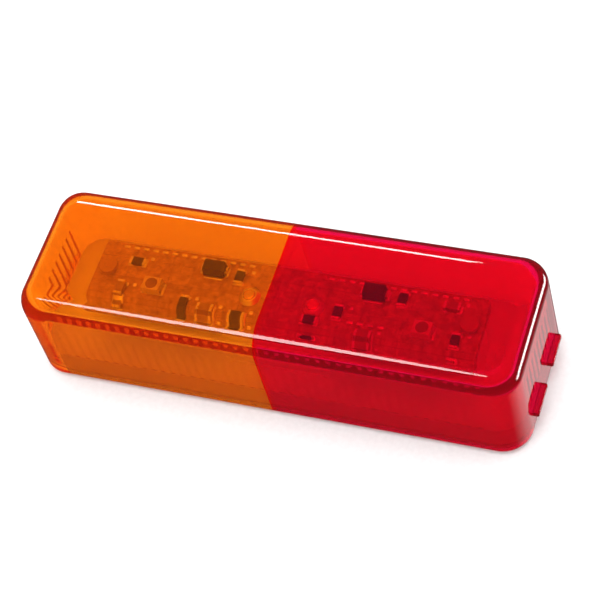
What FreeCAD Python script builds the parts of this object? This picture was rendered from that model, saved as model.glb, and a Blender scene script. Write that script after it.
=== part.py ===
import FreeCAD, Part
import math
import os

import Sketcher
from FreeCAD import Vector

# Sealed two-colour clearance light for a trailer: an amber half and a red half of clear plastic
# welded at the middle, over a back housing with a two-pin socket and a circuit board.
# X runs along the light (amber at -X, red at +X), Y across it, Z out of the lens.
# The origin is the centre of the back face, which lies at Z = 0. All sizes are millimetres.

doc = FreeCAD.newDocument("clearance_light")
dims = doc.addObject("Spreadsheet::Sheet", "dims")

DRIVING_DIMENSIONS = [
    ("lens_length", 98.4, "lens over its ends, at the back face, without the snap tabs"),
    ("lens_width", 30.2, "lens across, at the back face"),
    ("lens_height", 23.1, "back face to the lens's front"),
    ("wall", 2.0, "lens wall thickness"),
    ("draft", 1.26, "slope of the lens walls, degrees"),
    ("corner_radius", 5.5, "upright outer corners, at the back face"),
    ("rim_radius", 5.0, "rounding between the lens's front and its walls"),
    ("cavity_corner", 4.6, "upright corners inside the lens"),
    ("cavity_rim", 2.0, "rounding inside, between front and walls"),
    ("flute_pitch", 2.0, "spacing of the light-spreading flutes inside the walls"),
    ("flute_radius", 0.9, "radius of one flute"),
    ("flute_depth", 0.5, "depth of a flute at the back face"),
    ("flute_low", 6.2, "height where the flutes start"),
    ("flute_high", 14.8, "height where the flutes end"),
    ("flutes_long", 21, "flutes along each long wall of one half"),
    ("flutes_end", 9, "flutes across the end wall"),
    ("tab_width", 6.5, "snap tab across"),
    ("tab_spacing", 10.8, "distance between the centres of the two snap tabs of an end"),
    ("tab_low", 4.0, "underside of a snap tab"),
    ("tab_height", 1.1, "height of a snap tab"),
    ("tab_reach", 1.2, "how far a snap tab stands out of the end wall at the back face"),
    ("tab_ramp", 0.4, "bevel on a snap tab's front edge"),
    ("housing_fit", 0.05, "gap between the back housing and the lens wall"),
    ("housing_height", 6.0, "back face to the housing's floor, seen from the front"),
    ("housing_skin", 2.0, "thickness of the housing's floor"),
    ("skirt", 1.5, "thickness of the housing's upright walls"),
    ("bead_width", 0.9, "sealing bead across"),
    ("bead_depth", 1.2, "rebate that holds the sealing bead"),
    ("socket_length", 27.0, "plug socket, along the light"),
    ("socket_width", 14.0, "plug socket, across the light"),
    ("socket_depth", 10.9, "plug socket, from the back face"),
    ("rib", 1.2, "thickness of a stiffening rib under the floor"),
    ("rib_height", 1.0, "height of a stiffening rib"),
    ("board_length", 77.0, "circuit board along the light"),
    ("board_width", 15.0, "circuit board across the light"),
    ("board_thickness", 1.6, "circuit board thickness"),
    ("board_seat", 12.4, "back face to the underside of the board"),
    ("stake_x", 36.0, "heat stakes that hold the board, from the centre"),
    ("stake_y", 1.5, "heat stakes, off the centre line"),
    ("stake_radius", 1.0, "heat stake where it passes the board"),
    ("stake_head", 1.8, "radius of the melted head of a heat stake"),
    ("boss_radius", 2.6, "boss under the board at each heat stake"),
    ("pin_spacing", 12.7, "distance between the two bullet terminals, half an inch"),
    ("pin_radius", 2.285, "bullet terminal, 0.180 inch across"),
    ("pin_tip", 1.6, "back face to the tip of a bullet terminal"),
    ("pin_nose", 1.2, "length of the tapered nose of a bullet terminal"),
    ("pin_collar", 3.0, "radius of the collar that seats a bullet terminal"),
    ("shank_radius", 1.2, "terminal shank through housing and board"),
    ("led_length", 3.5, "light-emitting diode package along the light"),
    ("led_width", 2.8, "light-emitting diode package across the light"),
    ("led_height", 1.9, "light-emitting diode package height"),
    ("led_mouth", 1.2, "radius of the package's reflector cup at its mouth"),
    ("diode_length", 4.3, "rectifier body along the light"),
    ("diode_width", 2.6, "rectifier body across the light"),
    ("diode_height", 2.1, "rectifier body height"),
    ("chip_length", 3.2, "chip resistor and capacitor over their metal ends"),
    ("chip_width", 1.6, "chip resistor and capacitor across"),
    ("chip_end", 0.5, "length of a chip's metal end"),
    ("resistor_height", 0.6, "chip resistor height"),
    ("capacitor_height", 1.2, "chip capacitor height"),
]

for row, (alias, value, meaning) in enumerate(DRIVING_DIMENSIONS, start=1):
    dims.set("A%d" % row, alias)
    dims.set("B%d" % row, str(value))
    dims.set("C%d" % row, meaning)
    dims.setAlias("B%d" % row, alias)
doc.recompute()

AMBER = -1
RED = 1
COLOUR_NAME = {AMBER: "amber", RED: "red"}

# Places of the parts on the board, in millimetres from the board's centre.
LED_PLACE = {AMBER: (-25.5, -1.6), RED: (28.0, -1.6)}
DIODE_PLACE = {AMBER: (-14.8, 4.4), RED: (17.0, 4.8)}
RESISTOR_PLACES = [
    (-30.6, 3.6, 0), (-18.6, -3.8, 90), (-9.6, 3.8, 90), (-7.6, -4.6, 0),
    (11.2, -0.4, 90), (22.4, 4.6, 90), (6.4, -3.0, 0), (34.2, -2.4, 90),
]
CAPACITOR_PLACES = [(-13.8, -4.4, 0), (-31.8, -3.0, 90), (17.4, -4.4, 0), (32.0, 4.4, 0)]


def length_of(expression):
    """The value, in millimetres, of an expression on the sheet."""
    result = dims.evalExpression(expression)
    return float(getattr(result, "Value", result))


def bind(item, **expressions):
    """Ties an object's properties to the sheet; a double underscore stands for a dot."""
    for name, expression in expressions.items():
        item.setExpression(name.replace("__", "."), str(expression))
    return item


# ---------------------------------------------------------------- sketches

def new_body(label):
    body = doc.addObject("PartDesign::Body", label)
    body.Label = label
    return body


def new_sketch(body, name, offset="0"):
    """A sketch on the body's XY plane, raised by an expression."""
    sketch = body.newObject("Sketcher::SketchObject", name)
    plane = [item for item in body.Origin.OriginFeatures if item.Role == "XY_Plane"][0]
    sketch.AttachmentSupport = [(plane, "")]
    sketch.MapMode = "FlatFace"
    sketch.setExpression("AttachmentOffset.Base.z", offset)
    return sketch


def drive(sketch, constraint, expression):
    index = sketch.addConstraint(constraint)
    sketch.setExpression("Constraints[%d]" % index, expression)


def draw_loop(sketch, points):
    """Joins the points with straight lines into a closed outline; returns the first line's index."""
    first = sketch.GeometryCount
    count = len(points)
    for index in range(count):
        start = Vector(*points[index])
        end = Vector(*points[(index + 1) % count])
        sketch.addGeometry(Part.LineSegment(start, end), False)
    for index in range(count):
        following = first + (index + 1) % count
        sketch.addConstraint(Sketcher.Constraint("Coincident", first + index, 2, following, 1))
    return first


def rectangle(sketch, centre_x, centre_y, length, width):
    """A rectangle given by expressions for its centre and its two sizes."""
    cx, cy = length_of(centre_x), length_of(centre_y)
    dx, dy = length_of(length) / 2, length_of(width) / 2
    first = draw_loop(sketch, [(cx - dx, cy - dy), (cx + dx, cy - dy), (cx + dx, cy + dy), (cx - dx, cy + dy)])
    for index, direction in enumerate(["Horizontal", "Vertical", "Horizontal", "Vertical"]):
        sketch.addConstraint(Sketcher.Constraint(direction, first + index))
    drive(sketch, Sketcher.Constraint("DistanceX", first, 1, first, 2, 2 * dx), length)
    drive(sketch, Sketcher.Constraint("DistanceY", first + 1, 1, first + 1, 2, 2 * dy), width)
    corner_x = "(%s) - (%s) / 2" % (centre_x, length)
    corner_y = "(%s) - (%s) / 2" % (centre_y, width)
    drive(sketch, Sketcher.Constraint("DistanceX", -1, 1, first, 1, cx - dx), corner_x)
    drive(sketch, Sketcher.Constraint("DistanceY", -1, 1, first, 1, cy - dy), corner_y)


def rounded_rectangle(sketch, length, width, radius):
    """A rectangle about the sketch's origin with four equal round corners."""
    dx, dy, r = length_of(length) / 2, length_of(width) / 2, length_of(radius)
    first = sketch.GeometryCount
    sides = [
        ((-dx + r, -dy), (dx - r, -dy)), ((dx, -dy + r), (dx, dy - r)),
        ((dx - r, dy), (-dx + r, dy)), ((-dx, dy - r), (-dx, -dy + r)),
    ]
    centres = [(dx - r, -dy + r), (dx - r, dy - r), (-dx + r, dy - r), (-dx + r, -dy + r)]
    for index in range(4):
        sketch.addGeometry(Part.LineSegment(Vector(*sides[index][0]), Vector(*sides[index][1])), False)
        circle = Part.Circle(Vector(*centres[index]), Vector(0, 0, 1), r)
        start = (index - 1) * math.pi / 2
        sketch.addGeometry(Part.ArcOfCircle(circle, start, start + math.pi / 2), False)
    for index in range(0, 8, 2):
        line, arc, following = first + index, first + index + 1, first + (index + 2) % 8
        sketch.addConstraint(Sketcher.Constraint("Tangent", line, 2, arc, 1))
        sketch.addConstraint(Sketcher.Constraint("Tangent", arc, 2, following, 1))
    for index, direction in enumerate(["Horizontal", "Vertical", "Horizontal", "Vertical"]):
        sketch.addConstraint(Sketcher.Constraint(direction, first + 2 * index))
    for index in (3, 5, 7):
        sketch.addConstraint(Sketcher.Constraint("Equal", first + 1, first + index))
    sketch.addConstraint(Sketcher.Constraint("Symmetric", first, 1, first + 4, 1, -1, 1))
    drive(sketch, Sketcher.Constraint("Radius", first + 1, r), radius)
    drive(sketch, Sketcher.Constraint("DistanceX", first + 6, 1, first + 2, 1, 2 * dx), length)
    drive(sketch, Sketcher.Constraint("DistanceY", first, 1, first + 4, 2, 2 * dy), width)


def circle_at(sketch, centre_x, centre_y, radius):
    """A circle given by expressions for its centre and radius."""
    cx, cy, r = length_of(centre_x), length_of(centre_y), length_of(radius)
    index = sketch.addGeometry(Part.Circle(Vector(cx, cy), Vector(0, 0, 1), r), False)
    drive(sketch, Sketcher.Constraint("Radius", index, r), radius)
    drive(sketch, Sketcher.Constraint("DistanceX", -1, 1, index, 3, cx), centre_x)
    drive(sketch, Sketcher.Constraint("DistanceY", -1, 1, index, 3, cy), centre_y)


# ---------------------------------------------------------------- features

def pad(body, sketch, name, height, taper="0"):
    feature = body.newObject("PartDesign::Pad", name)
    feature.Profile = sketch
    bind(feature, Length=height, TaperAngle=taper)
    doc.recompute()
    return feature


def pocket(body, sketch, name, depth, taper="0"):
    """Cuts from the sketch in +Z, the direction of its normal."""
    before = body.Shape.Volume
    feature = body.newObject("PartDesign::Pocket", name)
    feature.Profile = sketch
    feature.Reversed = True
    bind(feature, Length=depth, TaperAngle=taper)
    doc.recompute()
    if body.Shape.Volume > before - 0.01:
        raise RuntimeError(name + " removed nothing")
    return feature


def edges_at(shape, height):
    """Names of the edges that lie wholly at one height."""
    return ["Edge%d" % (index + 1) for index, edge in enumerate(shape.Edges)
            if all(abs(vertex.Z - height) < 1e-4 for vertex in edge.Vertexes)]


def fillet_edges(body, base, name, edges, radius):
    feature = body.newObject("PartDesign::Fillet", name)
    feature.Base = (base, edges)
    bind(feature, Radius=radius)
    doc.recompute()
    return feature


def repeat(body, feature, name, sketch, axis, count, backwards):
    """A row of copies of a feature, one flute pitch apart, along an axis of its sketch."""
    row_of = body.newObject("PartDesign::LinearPattern", name)
    row_of.Originals = [feature]
    row_of.Direction = (sketch, [axis])
    row_of.Reversed = backwards
    bind(row_of, Occurrences=count, Length="(%s - 1) * dims.flute_pitch" % count)
    body.Tip = row_of
    doc.recompute()
    return row_of


# ---------------------------------------------------------------- lens halves

def make_lens(side):
    """One coloured half of the lens: a box open at the back and at the weld, fluted inside."""
    body = new_body(COLOUR_NAME[side] + "_lens")
    outline = new_sketch(body, "outline")
    rounded_rectangle(outline, "dims.lens_length", "dims.lens_width", "dims.corner_radius")
    block = pad(body, outline, "block", "dims.lens_height", "-dims.draft")
    top = length_of("dims.lens_height")
    fillet_edges(body, block, "rim", edges_at(block.Shape, top), "dims.rim_radius")

    inside = new_sketch(body, "inside")
    rounded_rectangle(inside, "dims.lens_length - 2 * dims.wall", "dims.lens_width - 2 * dims.wall",
                      "dims.cavity_corner")
    cavity = pocket(body, inside, "cavity", "dims.lens_height - dims.wall", "-dims.draft")
    roof = length_of("dims.lens_height - dims.wall")
    fillet_edges(body, cavity, "inner_rim", edges_at(cavity.Shape, roof), "dims.cavity_rim")

    half = new_sketch(body, "other_half")
    rectangle(half, "%d * dims.lens_length / 2" % -side, "0", "dims.lens_length", "2 * dims.lens_width")
    pocket(body, half, "weld_face", "2 * dims.lens_height")

    sides = new_sketch(body, "side_flute", offset="dims.flute_low")
    wall_line = "(dims.lens_width / 2 - dims.wall + dims.flute_depth - dims.flute_radius)"
    for edge in (-1, 1):
        circle_at(sides, "%d * dims.flute_pitch / 2" % side, "%d * %s" % (edge, wall_line), "dims.flute_radius")
    first = pocket(body, sides, "side_flute_cut", "dims.flute_high - dims.flute_low")
    repeat(body, first, "side_flutes", sides, "H_Axis", "dims.flutes_long", side < 0)

    end = new_sketch(body, "end_flute", offset="dims.flute_low")
    wall_line = "(dims.lens_length / 2 - dims.wall + dims.flute_depth - dims.flute_radius)"
    circle_at(end, "%d * %s" % (side, wall_line), "-(dims.flutes_end - 1) / 2 * dims.flute_pitch",
              "dims.flute_radius")
    first = pocket(body, end, "end_flute_cut", "dims.flute_high - dims.flute_low")
    repeat(body, first, "end_flutes", end, "V_Axis", "dims.flutes_end", False)

    tabs = new_sketch(body, "tab_outline", offset="dims.tab_low")
    for edge in (-1, 1):
        rectangle(tabs, "%d * (dims.lens_length / 2 - dims.wall / 4 + dims.tab_reach / 2)" % side,
                  "%d * dims.tab_spacing / 2" % edge, "dims.tab_reach + dims.wall / 2", "dims.tab_width")
    block = pad(body, tabs, "tabs", "dims.tab_height")
    tab_top = length_of("dims.tab_low + dims.tab_height")
    tip = length_of("dims.lens_length / 2 + dims.tab_reach")
    ramps = ["Edge%d" % (index + 1) for index, edge in enumerate(block.Shape.Edges)
             if all(abs(v.Z - tab_top) < 1e-4 and abs(abs(v.X) - tip) < 0.3 for v in edge.Vertexes)]
    bevel = body.newObject("PartDesign::Chamfer", "tab_ramps")
    bevel.Base = (block, ramps)
    bind(bevel, Size="dims.tab_ramp")
    doc.recompute()
    return body


# ---------------------------------------------------------------- back housing and seal

def make_back_housing():
    """Tray that closes the lens: skirt, floor, plug socket, and the board's bosses and stakes."""
    body = new_body("back_housing")
    outline = new_sketch(body, "outline")
    rounded_rectangle(outline, "dims.lens_length - 2 * dims.wall - 2 * dims.housing_fit",
                      "dims.lens_width - 2 * dims.wall - 2 * dims.housing_fit",
                      "dims.cavity_corner - dims.housing_fit")
    pad(body, outline, "block", "dims.housing_height", "-dims.draft")

    rebate = new_sketch(body, "rebate")
    rounded_rectangle(rebate, "dims.lens_length", "dims.lens_width", "dims.corner_radius")
    rounded_rectangle(rebate, "dims.lens_length - 2 * dims.wall - 2 * dims.bead_width",
                      "dims.lens_width - 2 * dims.wall - 2 * dims.bead_width",
                      "dims.cavity_corner - dims.bead_width")
    pocket(body, rebate, "bead_rebate", "dims.bead_depth")

    riser = new_sketch(body, "riser", offset="dims.housing_height")
    rounded_rectangle(riser, "dims.socket_length + 2 * dims.skirt", "dims.board_width",
                      "dims.board_width / 2 - 0.1")
    pad(body, riser, "socket_riser", "dims.board_seat - dims.housing_height")

    stake_steps = [
        ("boss", "dims.boss_radius", "dims.housing_height", "dims.board_seat - dims.housing_height"),
        ("stake", "dims.stake_radius", "dims.board_seat", "dims.board_thickness"),
        ("stake_head", "dims.stake_head", "dims.board_seat + dims.board_thickness", "dims.stake_radius"),
    ]
    for name, radius, low, height in stake_steps:
        step = new_sketch(body, name + "_outline", offset=low)
        for end in (-1, 1):
            circle_at(step, "%d * dims.stake_x" % end, "dims.stake_y", radius)
        pad(body, step, name, height)

    hollow = new_sketch(body, "hollow")
    rounded_rectangle(hollow, "dims.lens_length - 2 * (dims.wall + dims.bead_width + dims.skirt)",
                      "dims.lens_width - 2 * (dims.wall + dims.bead_width + dims.skirt)",
                      "dims.cavity_corner - dims.skirt")
    rounded_rectangle(hollow, "dims.socket_length + 2 * dims.skirt", "dims.socket_width + 2 * dims.skirt",
                      "dims.socket_width / 2 + dims.skirt - 0.1")
    pocket(body, hollow, "hollow_back", "dims.housing_height - dims.housing_skin")

    socket = new_sketch(body, "socket")
    rounded_rectangle(socket, "dims.socket_length", "dims.socket_width", "dims.socket_width / 2 - 0.1")
    pocket(body, socket, "plug_socket", "dims.socket_depth")

    holes = new_sketch(body, "shank_holes")
    for end in (-1, 1):
        circle_at(holes, "%d * dims.pin_spacing / 2" % end, "0", "dims.shank_radius")
    pocket(body, holes, "shank_bores", "dims.lens_height")

    ribs = new_sketch(body, "rib_outline", offset="dims.housing_height - dims.housing_skin - dims.rib_height")
    for end in (-1, 1):
        for place in (0.25, 0.36):
            rectangle(ribs, "%d * dims.lens_length * %s" % (end, place), "0", "dims.rib",
                      "dims.lens_width - 2 * (dims.wall + dims.bead_width)")
    pad(body, ribs, "ribs", "dims.rib_height + dims.housing_skin / 2")
    return body


def make_sealing_bead():
    body = new_body("sealing_bead")
    ring = new_sketch(body, "ring")
    rounded_rectangle(ring, "dims.lens_length - 2 * dims.wall - 2 * dims.housing_fit",
                      "dims.lens_width - 2 * dims.wall - 2 * dims.housing_fit",
                      "dims.cavity_corner - dims.housing_fit")
    rounded_rectangle(ring, "dims.lens_length - 2 * dims.wall - 2 * dims.bead_width",
                      "dims.lens_width - 2 * dims.wall - 2 * dims.bead_width",
                      "dims.cavity_corner - dims.bead_width")
    pad(body, ring, "bead", "dims.bead_depth")
    return body


# ---------------------------------------------------------------- board

def make_circuit_board():
    body = new_body("circuit_board")
    outline = new_sketch(body, "outline", offset="dims.board_seat")
    rounded_rectangle(outline, "dims.board_length", "dims.board_width", "1.0")
    pad(body, outline, "sheet", "dims.board_thickness")
    holes = new_sketch(body, "holes")
    for end in (-1, 1):
        circle_at(holes, "%d * dims.stake_x" % end, "dims.stake_y", "dims.stake_radius")
        circle_at(holes, "%d * dims.pin_spacing / 2" % end, "0", "dims.shank_radius")
    pocket(body, holes, "drilled", "dims.lens_height")
    return body


# ---------------------------------------------------------------- small parts from primitives

def box(label, centre, size, low):
    """A block by expressions: centre (x, y), size (x, y, z) and the height of its underside."""
    block = doc.addObject("Part::Box", label)
    bind(block, Length=size[0], Width=size[1], Height=size[2])
    bind(block, Placement__Base__x="(%s) - (%s) / 2" % (centre[0], size[0]))
    bind(block, Placement__Base__y="(%s) - (%s) / 2" % (centre[1], size[1]))
    bind(block, Placement__Base__z=low)
    return block


def cylinder(label, centre, radius, low, height):
    rod = doc.addObject("Part::Cylinder", label)
    bind(rod, Radius=radius, Height=height)
    bind(rod, Placement__Base__x=centre[0], Placement__Base__y=centre[1], Placement__Base__z=low)
    return rod


def cone(label, centre, low_radius, high_radius, low, height):
    taper = doc.addObject("Part::Cone", label)
    bind(taper, Radius1=low_radius, Radius2=high_radius, Height=height)
    bind(taper, Placement__Base__x=centre[0], Placement__Base__y=centre[1], Placement__Base__z=low)
    return taper


def cut(label, base, tool):
    result = doc.addObject("Part::Cut", label)
    result.Base = base
    result.Tool = tool
    return result


def fuse(label, pieces):
    result = doc.addObject("Part::MultiFuse", label)
    result.Shapes = pieces
    return result


def group(label, pieces):
    """Several separate solids in one sub-part."""
    result = doc.addObject("Part::Compound", label)
    result.Links = pieces
    return result


BOARD_TOP = "(dims.board_seat + dims.board_thickness)"


def make_terminal(label, side):
    """Bullet terminal: tapered nose, barrel, collar against the socket's ceiling, and shank."""
    place = ("%d * dims.pin_spacing / 2" % side, "0")
    collar_low = "(dims.socket_depth - 1)"
    nose = cone(label + "_nose", place, "dims.pin_radius * 0.55", "dims.pin_radius", "dims.pin_tip",
                "dims.pin_nose")
    barrel = cylinder(label + "_barrel", place, "dims.pin_radius", "dims.pin_tip + dims.pin_nose",
                      "%s - dims.pin_tip - dims.pin_nose" % collar_low)
    collar = cylinder(label + "_collar", place, "dims.pin_collar", collar_low, "1")
    shank = cylinder(label + "_shank", place, "dims.shank_radius", "dims.socket_depth",
                     BOARD_TOP + " + 1 - dims.socket_depth")
    return fuse(label, [nose, barrel, collar, shank])


def make_terminal_solder():
    """Cone of solder round each terminal's shank on the board's face."""
    joints = []
    for side in (-1, 1):
        place = ("%d * dims.pin_spacing / 2" % side, "0")
        name = "solder_%d" % (side + 1)
        cone_of = cone(name + "_cone", place, "dims.shank_radius * 1.8", "dims.shank_radius * 1.15",
                       BOARD_TOP, "0.8")
        core = cylinder(name + "_core", place, "dims.shank_radius", BOARD_TOP, "0.8")
        joints.append(cut(name, cone_of, core))
    return group("terminal_solder", joints)


def make_led(side):
    """White package with a reflector cup, the clear filling of the cup, and two metal ends."""
    colour = COLOUR_NAME[side]
    place = tuple(str(value) for value in LED_PLACE[side])
    cup_depth = "(dims.led_height * 0.6)"
    cup_low = "%s + dims.led_height - %s" % (BOARD_TOP, cup_depth)
    block = box(colour + "_led_block", place, ("dims.led_length", "dims.led_width", "dims.led_height"),
                BOARD_TOP)
    cup = cone(colour + "_led_cup", place, "dims.led_mouth * 0.75", "dims.led_mouth", cup_low, cup_depth)
    package = cut(colour + "_led_package", block, cup)
    filling = cone(colour + "_led_filling", place, "dims.led_mouth * 0.75", "dims.led_mouth", cup_low,
                   cup_depth)
    ends = []
    for end in (-1, 1):
        x = "%s + %d * (dims.led_length / 2 + 0.15)" % (place[0], end)
        ends.append(box("%s_led_end_%d" % (colour, end + 1), (x, place[1]),
                        ("0.3", "dims.led_width * 0.8", "dims.led_height / 2"), BOARD_TOP))
    return [package, filling, group(colour + "_led_terminals", ends)]


def make_diode(side):
    """Black moulded rectifier with sloping walls, and its two bent metal ends."""
    colour = COLOUR_NAME[side]
    x, y = (str(value) for value in DIODE_PLACE[side])
    body = new_body(colour + "_diode")
    outline = new_sketch(body, "outline", offset=BOARD_TOP)
    rectangle(outline, x, y, "dims.diode_length", "dims.diode_width")
    pad(body, outline, "moulding", "dims.diode_height", "-5")
    ends = []
    for end in (-1, 1):
        end_x = "%s + %d * (dims.diode_length / 2 + 0.25)" % (x, end)
        ends.append(box("%s_diode_end_%d" % (colour, end + 1), (end_x, y),
                        ("0.5", "dims.diode_width * 0.6", "dims.diode_height * 0.45"), BOARD_TOP))
    return [body, group(colour + "_diode_terminals", ends)]


def make_chips(label, places, height):
    """A row of chip parts: their ceramic bodies in one sub-part, their metal ends in another."""
    bodies = []
    ends = []
    for number, (x, y, turn) in enumerate(places):
        along = (1, 0) if turn == 0 else (0, 1)
        middle = "(dims.chip_length - 2 * dims.chip_end)"
        size = (middle, "dims.chip_width") if turn == 0 else ("dims.chip_width", middle)
        name = "%s_%d" % (label, number)
        bodies.append(box(name, (str(x), str(y)), size + (height,), BOARD_TOP))
        for end in (-1, 1):
            shift = "%d * (dims.chip_length - dims.chip_end) / 2" % end
            centre = ("%s + %d * %s" % (x, along[0], shift), "%s + %d * %s" % (y, along[1], shift))
            size_end = ("dims.chip_end", "dims.chip_width")
            size_end = size_end if turn == 0 else size_end[::-1]
            ends.append(box("%s_end_%d" % (name, end + 1), centre, size_end + (height,), BOARD_TOP))
    return [group(label + "s", bodies), group(label + "_ends", ends)]


# ---------------------------------------------------------------- the whole light

sub_parts = [make_lens(AMBER), make_lens(RED), make_back_housing(), make_sealing_bead(),
             make_circuit_board(), make_terminal("power_terminal", AMBER),
             make_terminal("ground_terminal", RED), make_terminal_solder()]
for half in (AMBER, RED):
    sub_parts += make_led(half)
    sub_parts += make_diode(half)
sub_parts += make_chips("resistor", RESISTOR_PLACES, "dims.resistor_height")
sub_parts += make_chips("capacitor", CAPACITOR_PLACES, "dims.capacitor_height")
doc.recompute()

for item in doc.Objects:
    if "Invalid" in item.State or "Error" in item.State:
        raise RuntimeError("%s did not recompute: %s" % (item.Label, item.State))
for item in sub_parts:
    if item.Shape.isNull() or not item.Shape.isValid():
        raise RuntimeError(item.Label + " has no valid shape")

os.makedirs("parts", exist_ok=True)
for item in sub_parts:
    item.Shape.exportStep(os.path.join("parts", item.Label + ".step"))
    bounds = item.Shape.BoundBox
    print("%-22s %9.2f mm3  %d solid(s)  z %.2f to %.2f" % (
        item.Label, item.Shape.Volume, len(item.Shape.Solids), bounds.ZMin, bounds.ZMax))
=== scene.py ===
import math

import bmesh
import bpy
from mathutils import Matrix, Quaternion, Vector


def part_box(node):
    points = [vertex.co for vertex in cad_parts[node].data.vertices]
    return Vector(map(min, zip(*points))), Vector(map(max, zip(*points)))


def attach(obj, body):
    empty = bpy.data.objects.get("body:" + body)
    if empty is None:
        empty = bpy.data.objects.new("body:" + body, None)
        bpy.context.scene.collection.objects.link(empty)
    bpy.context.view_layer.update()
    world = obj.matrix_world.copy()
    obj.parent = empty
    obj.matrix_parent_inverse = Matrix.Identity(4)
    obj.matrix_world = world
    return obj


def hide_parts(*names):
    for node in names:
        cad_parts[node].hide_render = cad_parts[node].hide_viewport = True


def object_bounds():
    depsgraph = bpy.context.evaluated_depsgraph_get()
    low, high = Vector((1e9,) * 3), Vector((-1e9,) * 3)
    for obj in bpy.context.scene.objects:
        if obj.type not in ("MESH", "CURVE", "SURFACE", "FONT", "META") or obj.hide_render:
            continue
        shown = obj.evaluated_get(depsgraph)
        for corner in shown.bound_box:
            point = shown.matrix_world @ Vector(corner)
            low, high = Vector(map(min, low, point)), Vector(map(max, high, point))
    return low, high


# Looks of a sealed two-colour marker light: clear amber and clear red plastic over a circuit board.
# Everything is in metres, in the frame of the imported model: X along the light, Z out of the lens.

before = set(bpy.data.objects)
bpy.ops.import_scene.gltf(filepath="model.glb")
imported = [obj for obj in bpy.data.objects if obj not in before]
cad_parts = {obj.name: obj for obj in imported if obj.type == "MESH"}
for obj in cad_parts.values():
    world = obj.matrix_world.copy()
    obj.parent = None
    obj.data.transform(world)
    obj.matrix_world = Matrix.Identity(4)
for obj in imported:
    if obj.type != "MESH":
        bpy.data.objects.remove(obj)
cad_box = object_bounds()

MM = 0.001
AMBER = -1
RED = 1
COLOUR_NAME = {AMBER: "amber", RED: "red"}


# ---------------------------------------------------------------- places read from the frame

LENS_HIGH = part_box("red_lens")[1]
TAB_REACH = 1.2 * MM
HALF_LENGTH = LENS_HIGH.x - TAB_REACH
HALF_WIDTH = LENS_HIGH.y
HEIGHT = LENS_HIGH.z
DRAFT = math.tan(math.radians(1.26))
WALL = 2.0 * MM
BOARD_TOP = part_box("circuit_board")[1].z


# ---------------------------------------------------------------- node helpers

# Most values of a noise texture lie between these two.
NOISE_LOW = 0.35
NOISE_HIGH = 0.65

# A Mix node's sockets share their names, so they are picked by number: first, second and result.
MIX_SOCKETS = {"FLOAT": (2, 3, 0), "RGBA": (6, 7, 2)}


def find_node(tree, kind):
    return next(node for node in tree.nodes if node.type == kind)


def new_material(name):
    material = bpy.data.materials.new(name)
    material.use_nodes = True
    tree = material.node_tree
    return material, tree, find_node(tree, "BSDF_PRINCIPLED")


def add_node(tree, kind, **values):
    """A node whose inputs are set by name, with underscores for spaces."""
    node = tree.nodes.new(kind)
    for name, value in values.items():
        socket = node.inputs.get(name.replace("_", " "))
        if socket is not None:
            socket.default_value = value
        else:
            setattr(node, name, value)
    return node


def feed(tree, source, socket):
    """Links a socket to another node's output, or sets it to a plain value."""
    if isinstance(source, bpy.types.NodeSocket):
        tree.links.new(source, socket)
    else:
        socket.default_value = source


def calculate(tree, operation, *sources):
    """The result of a Math node that is fed outputs of other nodes or plain numbers."""
    node = add_node(tree, "ShaderNodeMath", operation=operation)
    for source, socket in zip(sources, node.inputs):
        feed(tree, source, socket)
    return node.outputs["Value"]


def mix(tree, kind, factor, first, second, **values):
    """Goes from the first value to the second, numbers or colours, as the factor goes from 0 to 1."""
    node = add_node(tree, "ShaderNodeMix", data_type=kind, **values)
    first_place, second_place, result_place = MIX_SOCKETS[kind]
    feed(tree, factor, node.inputs[0])
    feed(tree, first, node.inputs[first_place])
    feed(tree, second, node.inputs[second_place])
    return node.outputs[result_place]


def coordinates(tree, system="Object"):
    return tree.nodes.new("ShaderNodeTexCoord").outputs[system]


def split_axes(tree, vector):
    """The X, Y and Z of a vector, as outputs with those names."""
    split = tree.nodes.new("ShaderNodeSeparateXYZ")
    tree.links.new(vector, split.inputs["Vector"])
    return split.outputs


def object_noise(tree, scale, detail=3.0, roughness=0.55):
    """Noise of the given number of waves per metre, fixed to the object."""
    noise = add_node(tree, "ShaderNodeTexNoise", Scale=scale, Detail=detail, Roughness=roughness)
    tree.links.new(coordinates(tree), noise.inputs["Vector"])
    return noise.outputs["Fac"]


def spread(tree, source, low, high, start=NOISE_LOW, end=NOISE_HIGH):
    """Goes from low to high as the source goes from start to end, and stays at low or high outside them."""
    mapper = tree.nodes.new("ShaderNodeMapRange")
    for name, value in (("From Min", start), ("From Max", end), ("To Min", low), ("To Max", high)):
        mapper.inputs[name].default_value = value
    tree.links.new(source, mapper.inputs["Value"])
    return mapper.outputs["Result"]


def two_tone(tree, source, first, second):
    """The first colour where the noise is low and the second where it is high."""
    ramp = tree.nodes.new("ShaderNodeValToRGB")
    stops = zip(ramp.color_ramp.elements, (NOISE_LOW, NOISE_HIGH), (first, second))
    for stop, position, colour in stops:
        stop.position = position
        stop.color = (*colour, 1)
    tree.links.new(source, ramp.inputs["Fac"])
    return ramp.outputs["Color"]


def add_bump(tree, shader, source, distance, strength=1.0):
    bump = add_node(tree, "ShaderNodeBump", Strength=strength, Distance=distance)
    tree.links.new(source, bump.inputs["Height"])
    tree.links.new(bump.outputs["Normal"], shader.inputs["Normal"])


# ---------------------------------------------------------------- materials

BROAD_SHARE = 0.12
GLOSS_SPREAD = 0.15


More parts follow.
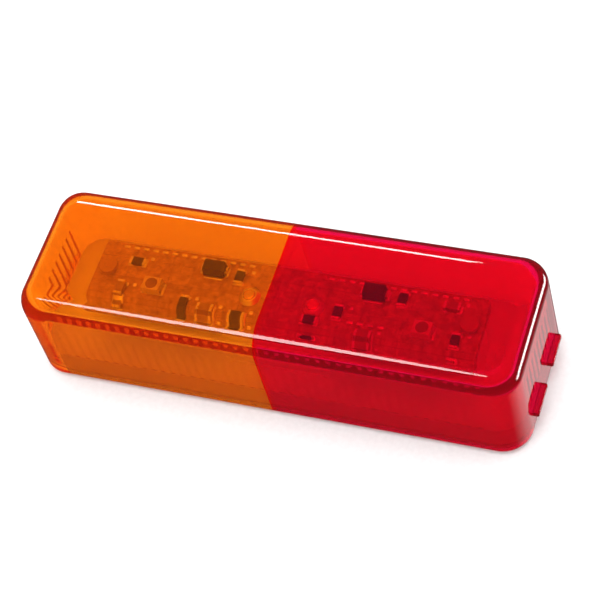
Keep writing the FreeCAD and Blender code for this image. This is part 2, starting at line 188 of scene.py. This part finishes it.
def moulded(name, colour, shade, grain, roughness, depth):
    """Two close tones, uneven gloss and a fine grain.

    The darker tone is the colour times shade, grain is in waves per metre and depth is the grain's.
    """
    material, tree, shader = new_material(name)
    broad = object_noise(tree, grain * BROAD_SHARE)
    fine = object_noise(tree, grain)
    darker = tuple(channel * shade for channel in colour)
    tree.links.new(two_tone(tree, broad, darker, colour), shader.inputs["Base Color"])
    gloss = spread(tree, fine, roughness * (1 - GLOSS_SPREAD), roughness * (1 + GLOSS_SPREAD))
    tree.links.new(gloss, shader.inputs["Roughness"])
    add_bump(tree, shader, fine, depth)
    return material


def metal(name, colour, shade, grain, roughness, depth):
    material = moulded(name, colour, shade, grain, roughness, depth)
    find_node(material.node_tree, "BSDF_PRINCIPLED").inputs["Metallic"].default_value = 1.0
    return material


def staked_plastic(name, colour, scorched):
    """The housing's satin plastic, browned on the stake heads that stand above the board."""
    shade = 0.96
    broad_waves = 300.0
    fine_waves = 2500.0
    smoothest, roughest = 0.36, 0.48
    fade = 0.1 * MM
    grain_depth = 0.004 * MM
    material, tree, shader = new_material(name)
    height = split_axes(tree, coordinates(tree))["Z"]
    head = spread(tree, height, 0.0, 1.0, BOARD_TOP - fade, BOARD_TOP + fade)
    darker = tuple(shade * channel for channel in colour)
    clean = two_tone(tree, object_noise(tree, broad_waves), darker, colour)
    tree.links.new(mix(tree, "RGBA", head, clean, (*scorched, 1)), shader.inputs["Base Color"])
    fine = object_noise(tree, fine_waves)
    tree.links.new(spread(tree, fine, smoothest, roughest), shader.inputs["Roughness"])
    add_bump(tree, shader, fine, grain_depth)
    return material


def printed_board(name):
    """Tan laminate with fields of copper under the mask, parted by narrow gaps."""
    copper = (0.68, 0.43, 0.19, 1)
    darker_copper = (0.60, 0.37, 0.165, 1)
    gap = (0.46, 0.27, 0.12, 1)
    stain = (0.5, 0.45, 0.4)
    no_stain = (1, 1, 1)
    stain_waves = 650.0
    stain_detail = 5.0
    stain_roughness = 0.7
    fine_waves = 2200.0
    smoothest, roughest = 0.28, 0.40
    copper_height = 0.02 * MM
    bump_strength = 0.5
    material, tree, shader = new_material(name)
    # The fields' sizes are in millimetres.
    fields = add_node(tree, "ShaderNodeTexBrick", offset=0.37, squash=0.55, squash_frequency=3, Scale=1 / MM,
                      Mortar_Size=0.08, Mortar_Smooth=0.3, Brick_Width=7.9, Row_Height=4.3,
                      Color1=copper, Color2=darker_copper, Mortar=gap)
    tree.links.new(coordinates(tree), fields.inputs["Vector"])
    stains = two_tone(tree, object_noise(tree, stain_waves, stain_detail, stain_roughness), stain, no_stain)
    stained = mix(tree, "RGBA", 1.0, fields.outputs["Color"], stains, blend_type="MULTIPLY",
                  clamp_factor=True)
    tree.links.new(stained, shader.inputs["Base Color"])
    fine = object_noise(tree, fine_waves)
    tree.links.new(spread(tree, fine, smoothest, roughest), shader.inputs["Roughness"])
    add_bump(tree, shader, fields.outputs["Fac"], copper_height, bump_strength)
    return material


WELD_GAP = 0.01 * MM
WELD_REACH = 3 * WELD_GAP
PLASTIC_IOR = 1.58
POLISH_WAVES = 260.0
POLISH_ROUGHEST = 0.03
HAZE_DENSITY = 60.0


def clear_plastic(name, tint, per_mm, glow):
    """Clear tinted plastic.

    The tint is what a wall lets through at its faces, per_mm what each millimetre lets through, and
    glow the colour of the faint haze inside it.
    """
    material, tree, shader = new_material(name)
    shader.inputs["Base Color"].default_value = (*tint, 1)
    shader.inputs["Transmission Weight"].default_value = 1.0
    polish = spread(tree, object_noise(tree, POLISH_WAVES), 0.0, POLISH_ROUGHEST)
    tree.links.new(polish, shader.inputs["Roughness"])

    # The two halves are melted together, so light crosses the weld without bending.
    from_weld = calculate(tree, "ABSOLUTE", split_axes(tree, coordinates(tree))["X"])
    beyond = calculate(tree, "GREATER_THAN", from_weld, WELD_REACH)
    tree.links.new(calculate(tree, "MULTIPLY_ADD", beyond, PLASTIC_IOR - 1, 1.0), shader.inputs["IOR"])

    taken = [-math.log(share) / MM for share in per_mm]
    density = max(taken)
    absorbed = (*[1 - value / density for value in taken], 1)
    absorption = add_node(tree, "ShaderNodeVolumeAbsorption", Color=absorbed, Density=density)
    haze = add_node(tree, "ShaderNodeVolumeScatter", Color=(*glow, 1), Density=HAZE_DENSITY)
    both = tree.nodes.new("ShaderNodeAddShader")
    tree.links.new(absorption.outputs["Volume"], both.inputs[0])
    tree.links.new(haze.outputs["Volume"], both.inputs[1])
    tree.links.new(both.outputs["Shader"], find_node(tree, "OUTPUT_MATERIAL").inputs["Volume"])
    return material


# ---------------------------------------------------------------- mesh helpers

SAME_POINT = 0.001 * MM
CRISP_ANGLE = 40
SOLDER_CRISP_ANGLE = 50


def object_from(name, mesh_builder, material):
    mesh = bpy.data.meshes.new(name)
    mesh_builder.normal_update()
    mesh_builder.to_mesh(mesh)
    mesh_builder.free()
    piece = bpy.data.objects.new(name, mesh)
    bpy.context.scene.collection.objects.link(piece)
    piece.data.materials.append(material)
    return piece


def apply_modifiers(piece):
    graph = bpy.context.evaluated_depsgraph_get()
    graph.update()
    mesh = bpy.data.meshes.new_from_object(piece.evaluated_get(graph))
    piece.modifiers.clear()
    piece.data = mesh


def shade_by_angle(piece, degrees=CRISP_ANGLE):
    """Smooth shading that stays crisp across edges sharper than an angle, flat faces staying flat."""
    for face in piece.data.polygons:
        face.use_smooth = True
    piece.data.set_sharp_from_angle(angle=math.radians(degrees))
    weighted = piece.modifiers.new("flat_faces", "WEIGHTED_NORMAL")
    weighted.keep_sharp = True
    weighted.weight = 100
    apply_modifiers(piece)


def place_piece(piece, slot, *nodes):
    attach(piece, "root")
    if nodes:
        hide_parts(*nodes)


# ---------------------------------------------------------------- the lens halves

OUTER_CORNER = 5.6 * MM
OUTER_RIM = 5.0 * MM
INNER_CORNER = 4.6 * MM
INNER_RIM = 2.0 * MM
SMALLEST_CORNER = 0.01 * MM
CORNER_STEPS = 14
RIM_STEPS = 14
FLAT_EDGE = 0.3 * MM
FOOT_ROUND = 0.5 * MM
FOOT_STEPS = 3

FLUTE_PITCH = 2.0 * MM
END_FLUTE_PITCH = 1.84 * MM
LONG_FLUTE_DEPTH = 0.035 * MM
END_FLUTE_DEPTH = {AMBER: 0.14 * MM, RED: 0.04 * MM}
FLUTE_LOW = 6.2 * MM
FLUTE_HIGH = 14.8 * MM
FLUTE_RUN_OUT = 0.3 * MM
RUN_OUT_STEPS = 4
FLUTES_LONG = 21
FLUTES_END = 9
FLUTE_STEPS = 12

# Columns of walls without flutes, as shares of the light's half length and half width.
PLAIN_LONG_COLUMNS = (0.2, 0.4, 0.6, 0.8)
PLAIN_END_COLUMNS = (-0.35, 0.0, 0.35)

TAB_LOW = 4.0 * MM
TAB_HIGH = 5.1 * MM
TAB_WIDTH = 6.5 * MM
TAB_SPACING = 10.8 * MM
TAB_SUNK = 0.8 * MM
TAB_ROUND = 0.3 * MM
TAB_ROUND_STEPS = 4

RIDGE_NEAR = 1.20 * MM
RIDGE_FAR = 1.38 * MM
RIDGE_DEPTH = 0.08 * MM
RIDGE_SUNK = 0.5 * MM
RIDGE_END_GAP = 0.4 * MM


def flute_columns(first, count, pitch, depth):
    """Places along a wall and the groove depth at each, for a row of shallow round flutes."""
    columns = []
    for step in range(count * FLUTE_STEPS + 1):
        wave = 0.5 - 0.5 * math.cos(math.tau * step / FLUTE_STEPS)
        columns.append((first + (step / FLUTE_STEPS - 0.5) * pitch, depth * wave))
    return columns


def wall_columns(end_depth=None):
    """The outline's columns from the weld, along one wall, round the end and back to the weld.

    Given the depth of the flutes at the end, the walls are fluted.
    """
    if end_depth:
        long_wall = flute_columns(FLUTE_PITCH / 2, FLUTES_LONG, FLUTE_PITCH, LONG_FLUTE_DEPTH)
        # The first column lies just before the outline's start, so it is left out.
        long_wall = long_wall[1:]
        first_at_end = -(FLUTES_END - 1) / 2 * END_FLUTE_PITCH
        end_wall = flute_columns(first_at_end, FLUTES_END, END_FLUTE_PITCH, end_depth)
    else:
        long_wall = [(HALF_LENGTH * share, 0.0) for share in PLAIN_LONG_COLUMNS]
        end_wall = [(HALF_WIDTH * share, 0.0) for share in PLAIN_END_COLUMNS]
    arc = [math.pi / 2 * step / CORNER_STEPS for step in range(CORNER_STEPS + 1)]
    return ([("front", WELD_GAP, 0.0)] + [("front", x, depth) for x, depth in long_wall]
            + [("front_arc", angle, 0.0) for angle in arc]
            + [("end", y, depth) for y, depth in end_wall]
            + [("back_arc", angle, 0.0) for angle in arc]
            + [("back", x, depth) for x, depth in reversed(long_wall)] + [("back", WELD_GAP, 0.0)])


def ring(columns, half_length, half_width, corner, height, fluting):
    """One level of a wall: a rounded outline at a height, with its flutes at a share of their depth."""
    points = []
    for kind, place, depth in columns:
        out = depth * fluting
        if kind == "front":
            points.append((place, -half_width - out))
        elif kind == "back":
            points.append((place, half_width + out))
        elif kind == "end":
            points.append((half_length + out, place))
        else:
            angle = place if kind == "back_arc" else place - math.pi / 2
            x_centre = half_length - corner
            y_centre = (half_width - corner) * (1 if kind == "back_arc" else -1)
            points.append((x_centre + corner * math.cos(angle), y_centre + corner * math.sin(angle)))
    return [Vector((x, y, height)) for x, y in points]


def shell_rings(columns, inset, corner, rim, top, levels):
    """Rings of a drafted wall with a rounded rim: up the wall, round the rim and just onto the flat top.

    A level is a height, how far the wall is pulled in there and the share of the flutes' depth.
    """
    def level(height, pulled_in, fluting):
        shrink = inset + DRAFT * height + pulled_in
        radius = max(corner - DRAFT * height - pulled_in, SMALLEST_CORNER)
        return ring(columns, HALF_LENGTH - shrink, HALF_WIDTH - shrink, radius, height, fluting)

    rings = [level(height, pulled_in, fluting) for height, pulled_in, fluting in levels]
    for step in range(RIM_STEPS + 1):
        angle = math.pi / 2 * step / RIM_STEPS
        rings.append(level(top - rim + rim * math.sin(angle), rim * (1 - math.cos(angle)), 0.0))
    rings.append(level(top, rim + FLAT_EDGE, 0.0))
    return rings


def flute_levels():
    """Levels up the inner wall: plain foot, flutes that start and end roundly, plain neck."""
    levels = [(0.0, 0.0, 0.0)]
    run_out = []
    for step in range(RUN_OUT_STEPS + 1):
        share = step / RUN_OUT_STEPS
        run_out.append((FLUTE_RUN_OUT * share, math.sin(math.pi / 2 * share)))
    levels += [(FLUTE_LOW + inward, 0.0, rise) for inward, rise in run_out]
    levels += [(FLUTE_HIGH - inward, 0.0, rise) for inward, rise in reversed(run_out)]
    return levels


def foot_levels():
    """Levels of the slightly rounded lower edge of the outer wall."""
    levels = []
    for step in range(FOOT_STEPS + 1):
        angle = math.pi / 2 * step / FOOT_STEPS
        levels.append((FOOT_ROUND * (1 - math.cos(angle)), FOOT_ROUND * (1 - math.sin(angle)), 0.0))
    return levels


def join_rings(builder, rings, outward):
    """Quads between successive rings; returns the rings as vertices."""
    levels = [[builder.verts.new(point) for point in points] for points in rings]
    for lower, upper in zip(levels, levels[1:]):
        for index in range(len(lower) - 1):
            corners = [lower[index], lower[index + 1], upper[index + 1], upper[index]]
            builder.faces.new(corners if outward else corners[::-1])
    return levels


def add_block(builder, low, high):
    """A box between two corners."""
    for vertex in bmesh.ops.create_cube(builder, size=1.0)["verts"]:
        vertex.co = Vector([b if side > 0 else a for a, b, side in zip(low, high, vertex.co)])


def join_solid(piece, builder):
    """Melts a closed solid into a piece."""
    tool = object_from("tool", builder, piece.data.materials[0])
    union = piece.modifiers.new("joined", "BOOLEAN")
    union.operation = "UNION"
    union.solver = "EXACT"
    union.object = tool
    apply_modifiers(piece)
    bpy.data.objects.remove(tool)


def add_tabs(piece, side):
    """The two snap tabs, thin ledges along the end wall, joined into the lens."""
    builder = bmesh.new()
    tip = side * (HALF_LENGTH + TAB_REACH)
    near, far = sorted((side * (HALF_LENGTH - TAB_SUNK), tip))
    for edge in (-1, 1):
        middle_y = edge * TAB_SPACING / 2
        add_block(builder, (near, middle_y - TAB_WIDTH / 2, TAB_LOW),
                  (far, middle_y + TAB_WIDTH / 2, TAB_HIGH))
    outer = [edge for edge in builder.edges
             if all(abs(vertex.co.x - tip) < SAME_POINT for vertex in edge.verts)]
    bmesh.ops.bevel(builder, geom=outer, offset=TAB_ROUND, segments=TAB_ROUND_STEPS, profile=0.5,
                    affect="EDGES")
    join_solid(piece, builder)


def add_weld_ridge(piece, side):
    """The low ridge that the mould leaves under the top, beside the weld."""
    under = HEIGHT - WALL
    near, far = sorted((side * RIDGE_NEAR, side * RIDGE_FAR))
    reach = HALF_WIDTH - WALL - DRAFT * under - INNER_RIM - RIDGE_END_GAP
    builder = bmesh.new()
    add_block(builder, (near, -reach, under - RIDGE_DEPTH), (far, reach, under + RIDGE_SUNK))
    join_solid(piece, builder)


def make_lens(side, material):
    """One half of the lens as a closed shell: walls, rim, top, fluted inside, open at the back."""
    outer = shell_rings(wall_columns(), 0.0, OUTER_CORNER, OUTER_RIM, HEIGHT, foot_levels())
    inner = shell_rings(wall_columns(END_FLUTE_DEPTH[side]), WALL, INNER_CORNER, INNER_RIM, HEIGHT - WALL,
                        flute_levels())
    builder = bmesh.new()
    outside = join_rings(builder, outer, True)
    inside = join_rings(builder, inner, False)
    builder.faces.new(outside[-1])
    builder.faces.new(inside[-1][::-1])
    builder.faces.new(inside[0] + outside[0][::-1])
    outer_seam = [level[0] for level in outside] + [level[-1] for level in outside[::-1]]
    inner_seam = [level[-1] for level in inside] + [level[0] for level in inside[::-1]]
    builder.faces.new(outer_seam + inner_seam)
    if side == AMBER:
        bmesh.ops.scale(builder, vec=Vector((-1, 1, 1)), verts=builder.verts)
        bmesh.ops.reverse_faces(builder, faces=builder.faces)
    bmesh.ops.recalc_face_normals(builder, faces=builder.faces)
    piece = object_from(COLOUR_NAME[side] + "_lens_shell", builder, material)
    add_tabs(piece, side)
    if side == RED:
        add_weld_ridge(piece, side)
    shade_by_angle(piece)
    return piece


# ---------------------------------------------------------------- moulded and turned parts

FLAT_ANGLE = 0.5
HARD_EDGE_ANGLE = 35


def softened(node, name, width, material, segments=2):
    """A copy of a CAD part with its hard edges rounded."""
    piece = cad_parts[node].copy()
    piece.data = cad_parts[node].data.copy()
    piece.name = name
    piece.parent = None
    for key in list(piece.keys()):
        del piece[key]
    bpy.context.scene.collection.objects.link(piece)
    builder = bmesh.new()
    builder.from_mesh(piece.data)
    bmesh.ops.remove_doubles(builder, verts=builder.verts, dist=SAME_POINT)
    bmesh.ops.dissolve_limit(builder, angle_limit=math.radians(FLAT_ANGLE), verts=builder.verts,
                             edges=builder.edges)
    builder.to_mesh(piece.data)
    builder.free()
    bevel = piece.modifiers.new("round_edges", "BEVEL")
    bevel.width = width
    bevel.segments = segments
    bevel.limit_method = "ANGLE"
    bevel.angle_limit = math.radians(HARD_EDGE_ANGLE)
    bevel.use_clamp_overlap = True
    apply_modifiers(piece)
    piece.data.materials.clear()
    piece.data.materials.append(material)
    shade_by_angle(piece)
    return piece


# ---------------------------------------------------------------- solder on the board

MOUND_SUNK = 0.02 * MM
MOUND_SIDES = 20
MOUND_LEVELS = (1.0, 0.9, 0.72, 0.48, 0.2)
FILLET_X = 0.35 * MM
FILLET_Y = 0.25 * MM
JOINT_PITCH = 2.0 * MM
JOINTS_EACH_WAY = 17
EDGE_ROW_INSET = 0.8 * MM
FREE_MIDDLE = 7 * MM
SHORT_ROW_END = 21 * MM
SHORT_ROW_Y = -2.0 * MM
SHORT_ROW_ROOM = 0.9 * MM
DIODE_GAP = 0.35 * MM
DIODE_END_GAP = 0.2 * MM
LAND_X_GAP = 1.5 * MM
LAND_Y_GAP = 0.4 * MM
LAND_ROOM = 0.5 * MM
LAND_INSET = 1.8 * MM


def solid_boxes(node):
    """Lowest and highest corner of each separate solid of a CAD node."""
    builder = bmesh.new()
    builder.from_mesh(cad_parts[node].data)
    bmesh.ops.remove_doubles(builder, verts=builder.verts, dist=SAME_POINT)
    waiting = set(builder.verts)
    boxes = []
    for start in builder.verts:
        if start not in waiting:
            continue
        waiting.discard(start)
        growing = [start]
        found = []
        while growing:
            vertex = growing.pop()
            found.append(vertex.co.copy())
            for edge in vertex.link_edges:
                other = edge.other_vert(vertex)
                if other in waiting:
                    waiting.discard(other)
                    growing.append(other)
        boxes.append([Vector([pick(point[axis] for point in found) for axis in range(3)])
                      for pick in (min, max)])
    builder.free()
    return boxes


def rounder(value):
    """A square root that keeps the sign, which turns a circle's sine or cosine into an oblong's."""
    return math.copysign(math.sqrt(abs(value)), value)


def add_mound(builder, x, y, half_x, half_y, rise):
    """A low rounded heap with an oblong foot, set a little into the board."""
    levels = []
    for share in MOUND_LEVELS:
        height = BOARD_TOP - MOUND_SUNK + rise * math.sqrt(1 - share * share)
        points = []
        for step in range(MOUND_SIDES):
            angle = math.tau * step / MOUND_SIDES
            points.append((x + half_x * share * rounder(math.cos(angle)),
                           y + half_y * share * rounder(math.sin(angle)), height))
        levels.append([builder.verts.new(point) for point in points])
    for lower, upper in zip(levels, levels[1:]):
        for index in range(MOUND_SIDES):
            after = (index + 1) % MOUND_SIDES
            builder.faces.new((lower[index], lower[after], upper[after], upper[index]))
    builder.faces.new(levels[0][::-1])
    builder.faces.new(levels[-1])


def make_board_solder(material):
    """Solder round every metal end, joints in two rows and beside the diodes, and lands beside the chips."""
    builder = bmesh.new()
    chips = solid_boxes("resistors") + solid_boxes("capacitors")
    ends = []
    for node in ("resistor_ends", "capacitor_ends", "amber_led_terminals", "red_led_terminals",
                 "amber_diode_terminals", "red_diode_terminals"):
        ends += solid_boxes(node)
    taken = ends + chips
    taken += [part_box(node) for node in ("amber_led_package", "red_led_package", "amber_diode", "red_diode",
                                        "terminal_solder")]

    def is_free(x, y, room):
        return all(x < low.x - room or x > high.x + room or y < low.y - room or y > high.y + room
                   for low, high in taken)

    for low, high in ends:
        centre, size = (low + high) / 2, high - low
        add_mound(builder, centre.x, centre.y, size.x / 2 + FILLET_X, size.y / 2 + FILLET_Y, rise=0.35 * MM)
    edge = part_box("circuit_board")[1]
    for step in range(-JOINTS_EACH_WAY, JOINTS_EACH_WAY + 1):
        x = step * JOINT_PITCH
        if abs(x) > FREE_MIDDLE:
            add_mound(builder, x, edge.y - EDGE_ROW_INSET, half_x=0.65 * MM, half_y=0.32 * MM, rise=0.25 * MM)
        if FREE_MIDDLE < x < SHORT_ROW_END and is_free(x, SHORT_ROW_Y, SHORT_ROW_ROOM):
            add_mound(builder, x, SHORT_ROW_Y, half_x=0.7 * MM, half_y=0.35 * MM, rise=0.22 * MM)
    for node in ("amber_diode", "red_diode"):
        low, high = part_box(node)
        for y in (low.y - DIODE_GAP, high.y + DIODE_GAP):
            add_mound(builder, (low.x + high.x) / 2, y, (high.x - low.x) / 2 - DIODE_END_GAP,
                      half_y=0.3 * MM, rise=0.2 * MM)
    for low, high in chips:
        x, y = high.x + LAND_X_GAP, high.y + LAND_Y_GAP
        if is_free(x, y, LAND_ROOM) and abs(y) < edge.y - LAND_INSET:
            add_mound(builder, x, y, half_x=0.4 * MM, half_y=0.4 * MM, rise=0.1 * MM)
    piece = object_from("board_solder_joints", builder, material)
    shade_by_angle(piece, SOLDER_CRISP_ANGLE)
    return piece


# ---------------------------------------------------------------- the camera

AZIMUTH = math.radians(33.13)
ELEVATION = math.radians(54.41)
ROLL = math.radians(18.77)
DISTANCE = 0.36219
AIM_SHIFT = Vector((1.96, 3.15, -0.15)) * MM
FOCAL_LENGTH = 115.6
SENSOR_WIDTH = 36.0
NEAREST_SEEN = 0.01


def make_camera():
    """Above the near right corner, turned about its own axis so that the light slopes down."""
    low, high = cad_box
    aim = Vector(((low[0] + high[0]) / 2, (low[1] + high[1]) / 2, HEIGHT / 2)) + AIM_SHIFT
    back = Vector((math.sin(AZIMUTH) * math.cos(ELEVATION), -math.cos(AZIMUTH) * math.cos(ELEVATION),
                   math.sin(ELEVATION)))
    level_right = Vector((0, 0, 1)).cross(back).normalized()
    level_up = back.cross(level_right)
    right = level_right * math.cos(ROLL) - level_up * math.sin(ROLL)
    up = level_up * math.cos(ROLL) + level_right * math.sin(ROLL)
    data = bpy.data.cameras.new("camera")
    data.lens = FOCAL_LENGTH
    data.sensor_width = SENSOR_WIDTH
    data.clip_start = NEAREST_SEEN
    camera = bpy.data.objects.new("camera", data)
    turn = Matrix((right, up, back)).transposed().to_4x4()
    camera.matrix_world = Matrix.Translation(aim + back * DISTANCE) @ turn
    bpy.context.scene.collection.objects.link(camera)
    bpy.context.scene.camera = camera


# ---------------------------------------------------------------- the studio

SKY = 1.5
SKY_TOP = 5.0
SKY_TOP_FADE = (0.90, 0.97)

# What only reflections see. A fade says where it starts and ends, in a unit direction's share along an axis.
ROOM_DARK = 0.05
ROOM_TABLE = 0.8
TABLE_RIGHT_FADE = (0.0, 0.12)
TABLE_BACK_FADE = (-0.30, 0.15)
TABLE_BELOW_FADE = (-0.80, -0.66)
TABLE_EDGE = 14.0
EDGE_NORMAL = (0.313, 0.195, 0.930)
EDGE_WIDTH_FADE = (0.06, 0.11)
EDGE_DIRECTION = (-0.529, 0.849, 0.0)
EDGE_LENGTH_FADE = (0.26, 0.40)
EDGE_RIGHT_FADE = (0.3, 0.4)

FLOOR_REACH = 3.0
FLOOR_DROP = 1.0 * MM
FLOOR_WAVES = 900.0
FLOOR_DARKER = (0.74, 0.74, 0.74)
FLOOR_COLOUR = (0.78, 0.78, 0.78)
FLOOR_ROUGHNESS = 0.7


def soft_box(name, place, width, height, power, shape="RECTANGLE", lean=0.0):
    """A lamp aimed at the origin. Reflections see it and diffuse surfaces don't. Lean rolls it."""
    data = bpy.data.lights.new(name, "AREA")
    data.shape = shape
    data.size = width
    data.size_y = height
    data.energy = power
    lamp = bpy.data.objects.new(name, data)
    lamp.location = place
    turned = (-Vector(place)).to_track_quat("-Z", "Y") @ Quaternion((0, 0, 1), math.radians(lean))
    lamp.rotation_euler = turned.to_euler()
    lamp.visible_diffuse = False
    lamp.visible_transmission = False
    bpy.context.scene.collection.objects.link(lamp)


def near_plane(tree, direction, axis, full, none):
    """1 for directions close to the plane across an axis, fading to 0 away from it."""
    along = add_node(tree, "ShaderNodeVectorMath", operation="DOT_PRODUCT")
    along.inputs[1].default_value = axis
    tree.links.new(direction, along.inputs[0])
    return spread(tree, calculate(tree, "ABSOLUTE", along.outputs["Value"]), 1.0, 0.0, full, none)


def mirrored_room(tree, direction):
    """A dark room with a pale table, low behind and to the right, and the table's bright edge."""
    axes = split_axes(tree, direction)
    to_right = spread(tree, axes["X"], 0.0, ROOM_TABLE, *TABLE_RIGHT_FADE)
    to_back = spread(tree, axes["Y"], 0.0, 1.0, *TABLE_BACK_FADE)
    below = spread(tree, axes["Z"], 1.0, 0.0, *TABLE_BELOW_FADE)
    across = near_plane(tree, direction, EDGE_NORMAL, *EDGE_WIDTH_FADE)
    along = near_plane(tree, direction, EDGE_DIRECTION, *EDGE_LENGTH_FADE)
    right_of_light = spread(tree, axes["X"], 0.0, TABLE_EDGE, *EDGE_RIGHT_FADE)
    edge = calculate(tree, "MULTIPLY", calculate(tree, "MULTIPLY", across, along), right_of_light)
    rest_of_room = calculate(tree, "ADD", edge, ROOM_DARK)
    table = calculate(tree, "MULTIPLY", to_right, to_back)
    return calculate(tree, "MULTIPLY_ADD", table, below, rest_of_room)


def studio_world():
    """White all round and brighter overhead, except in reflections, which see the mirrored room."""
    world = bpy.data.worlds.new("studio")
    world.use_nodes = True
    tree = world.node_tree
    sky = find_node(tree, "BACKGROUND")
    sky.inputs["Color"].default_value = (1, 1, 1, 1)
    ray = tree.nodes.new("ShaderNodeLightPath")
    not_passed_through = calculate(tree, "SUBTRACT", 1.0, ray.outputs["Is Transmission Ray"])
    mirrored = calculate(tree, "MULTIPLY", ray.outputs["Is Glossy Ray"], not_passed_through)
    direction = coordinates(tree, "Generated")
    white = spread(tree, split_axes(tree, direction)["Z"], SKY, SKY_TOP, *SKY_TOP_FADE)
    strength = mix(tree, "FLOAT", mirrored, white, mirrored_room(tree, direction))
    tree.links.new(strength, sky.inputs["Strength"])
    return world


def make_stage():
    builder = bmesh.new()
    bmesh.ops.create_grid(builder, x_segments=1, y_segments=1, size=FLOOR_REACH)
    material, tree, shader = new_material("pale_floor")
    fine = object_noise(tree, FLOOR_WAVES)
    tree.links.new(two_tone(tree, fine, FLOOR_DARKER, FLOOR_COLOUR), shader.inputs["Base Color"])
    shader.inputs["Roughness"].default_value = FLOOR_ROUGHNESS
    floor = object_from("studio_floor", builder, material)
    floor.location.z = -FLOOR_DROP
    floor.visible_glossy = False
    bpy.context.scene.world = studio_world()
    soft_box("in_front", place=(-0.19, -0.34, 0.455), width=0.25, height=0.12, power=0.7, shape="ELLIPSE")
    soft_box("behind", place=(-0.27, 0.50, 0.584), width=0.25, height=0.075, power=0.9, lean=-29)
    bpy.context.scene.view_settings.view_transform = "Standard"
    bpy.context.scene.cycles.max_bounces = 40
    bpy.context.scene.cycles.transmission_bounces = 40
    bpy.context.scene.cycles.glossy_bounces = 16
    bpy.context.scene.cycles.volume_bounces = 12


make_camera()
make_stage()


# ---------------------------------------------------------------- the light

amber_plastic = clear_plastic("amber_polycarbonate", tint=(1.0, 0.75, 0.2), per_mm=(0.985, 0.75, 0.45),
                              glow=(1.0, 0.45, 0.05))
red_plastic = clear_plastic("red_polycarbonate", tint=(1.0, 0.03, 0.10), per_mm=(0.95, 0.40, 0.86),
                            glow=(1.0, 0.03, 0.4))
housing_plastic = staked_plastic("housing_plastic", colour=(0.88, 0.87, 0.84), scorched=(0.50, 0.30, 0.13))
board_mask = printed_board("board_laminate")

# In each call: name, colour, shade, grain, roughness and depth of the grain.
sealant = moulded("sealant", (0.78, 0.78, 0.75), 0.85, 900.0, 0.35, 0.02 * MM)
brass = metal("terminal_brass", (0.80, 0.58, 0.26), 0.75, 1500.0, 0.22, 0.003 * MM)
solder = metal("solder", (0.80, 0.77, 0.70), 0.75, 1200.0, 0.34, 0.02 * MM)
tinned = metal("tinned_metal", (0.75, 0.75, 0.76), 0.85, 1500.0, 0.30, 0.006 * MM)
led_plastic = moulded("led_plastic", (0.75, 0.70, 0.58), 0.95, 3000.0, 0.45, 0.004 * MM)
led_silicone = moulded("led_silicone", (0.38, 0.20, 0.05), 0.6, 2000.0, 0.12, 0.004 * MM)
diode_black = moulded("diode_moulding", (0.018, 0.018, 0.02), 0.7, 4000.0, 0.45, 0.01 * MM)
resistor_black = moulded("resistor_ceramic", (0.02, 0.02, 0.024), 0.7, 4000.0, 0.35, 0.005 * MM)
capacitor_tan = moulded("capacitor_ceramic", (0.42, 0.27, 0.15), 0.85, 3000.0, 0.5, 0.006 * MM)

MOULDED_EDGE = 0.3 * MM
TERMINAL_EDGE = 0.35 * MM
SOLDER_EDGE = 0.2 * MM
TURNED_STEPS = 3

place_piece(make_lens(AMBER, amber_plastic), "amber_polycarbonate", "amber_lens")
place_piece(make_lens(RED, red_plastic), "red_polycarbonate", "red_lens")
place_piece(softened("back_housing", "back_housing_moulding", MOULDED_EDGE, housing_plastic),
            "housing_plastic", "back_housing")
for node, width, material, slot in (
        ("power_terminal", TERMINAL_EDGE, brass, "terminal_brass"),
        ("ground_terminal", TERMINAL_EDGE, brass, "terminal_brass"),
        ("terminal_solder", SOLDER_EDGE, solder, "solder")):
    place_piece(softened(node, node + "_turned", width, material, TURNED_STEPS), slot, node)
place_piece(make_board_solder(solder), "solder")

# These CAD parts show as they are, in their own finish.
KEPT = {
    "sealing_bead": sealant, "circuit_board": board_mask, "amber_led_package": led_plastic,
    "amber_led_filling": led_silicone, "amber_led_terminals": tinned, "red_led_package": led_plastic,
    "red_led_filling": led_silicone, "red_led_terminals": tinned, "amber_diode": diode_black,
    "amber_diode_terminals": tinned, "red_diode": diode_black, "red_diode_terminals": tinned,
    "resistors": resistor_black, "resistor_ends": tinned, "capacitors": capacitor_tan,
    "capacitor_ends": tinned,
}
for node, material in KEPT.items():
    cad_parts[node].data.materials.clear()
    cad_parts[node].data.materials.append(material)
